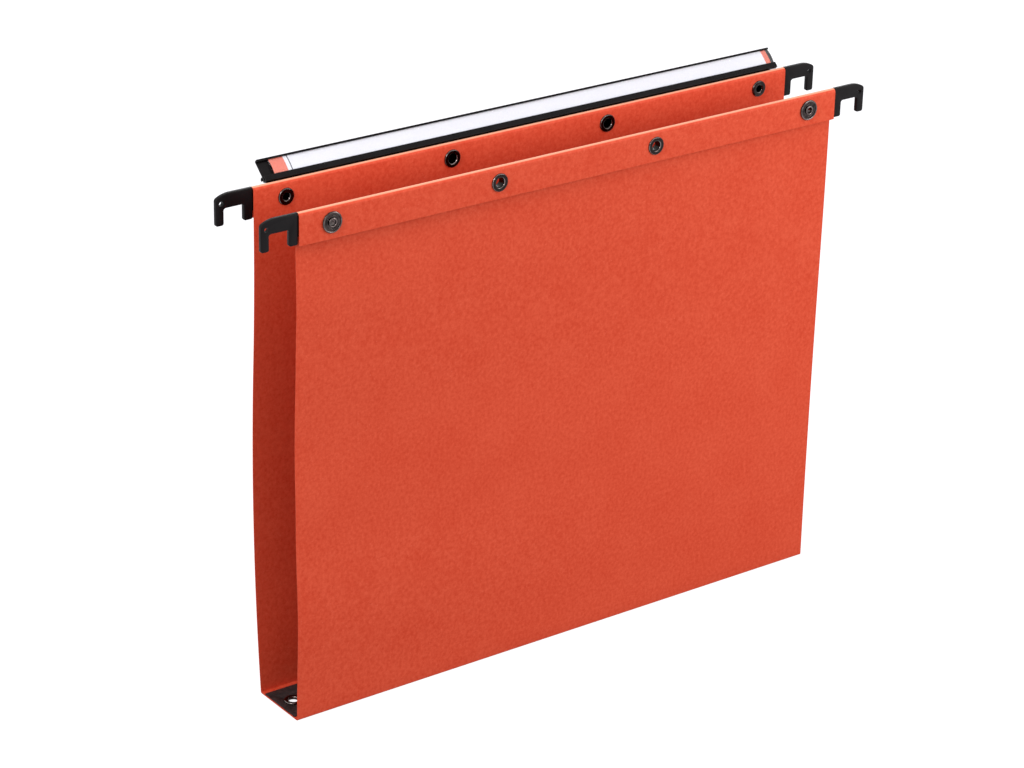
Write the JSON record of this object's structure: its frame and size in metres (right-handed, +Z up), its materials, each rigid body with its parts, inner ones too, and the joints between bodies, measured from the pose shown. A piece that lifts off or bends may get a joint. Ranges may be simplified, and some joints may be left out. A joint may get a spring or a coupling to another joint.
{
  "type": "hanging file folder",
  "caption": "Square-based hanging file folder in folded card, with hooked steel bars in its top sleeves, press fasteners and a tilting lens label holder.",
  "frame": {"origin": "middle of the base's underside", "axes": "+X along the sleeves from the left hooks to the right hooks, +Y from the front leaf to the back leaf, +Z up"},
  "size_m": [0.3486, 0.0509, 0.2651],
  "materials": {
    "card": "uncoated kraft, orange through the sheet",
    "board": "matt black board",
    "bar_steel": "bright rolled strip",
    "hook_plastic": "moulded, satin black",
    "fastener_metal": "black nickel plate",
    "label_plastic": "extruded, satin black",
    "lens_plastic": "clear, polished",
    "label_paper": "white paper with plain orange end blocks"
  },
  "bodies": {
    "base": {"base_left_rivet": "fastener_metal", "base_right_rivet": "fastener_metal", "base_panel": "card", "base_board": "board"},
    "front_leaf": {"front_panel": "card", "front_hanger_bar": "bar_steel", "front_left_hook": "hook_plastic", "front_left_eyelet": "fastener_metal", "front_right_hook": "hook_plastic", "front_right_eyelet": "fastener_metal", "front_left_socket": "fastener_metal", "front_left_socket_post": "fastener_metal", "front_right_socket": "fastener_metal", "front_right_socket_post": "fastener_metal"},
    "back_leaf": {"back_panel": "card", "back_hanger_bar": "bar_steel", "back_left_hook": "hook_plastic", "back_left_eyelet": "fastener_metal", "back_right_hook": "hook_plastic", "back_right_eyelet": "fastener_metal", "back_left_stud": "fastener_metal", "back_left_stud_post": "fastener_metal", "back_right_stud": "fastener_metal", "back_right_stud_post": "fastener_metal", "label_flange": "label_plastic"},
    "label_channel": {"label_holder": "label_plastic", "label_lens": "lens_plastic"},
    "label_insert": {"label_strip": "label_paper"}
  },
  "joints": [
    {"name": "front_fold", "type": "hinge", "parent": "base", "child": "front_leaf", "pos_m": [0, -0.01605, 0.0002], "axis": [1, 0, 0], "range_deg": [-3.6, 86]},
    {"name": "back_fold", "type": "hinge", "parent": "base", "child": "back_leaf", "pos_m": [0, 0.01605, 0.0002], "axis": [-1, 0, 0], "range_deg": [-3.6, 86]},
    {"name": "label_tilt", "type": "hinge", "parent": "back_leaf", "child": "label_channel", "pos_m": [0.00225, 0.0229, 0.2566], "axis": [1, 0, 0], "range_deg": [-40, 5]},
    {"name": "label_slide", "type": "slide", "parent": "label_channel", "child": "label_insert", "axis": [1, 0, 0], "range_m": [0, 0.29]}
  ]
}
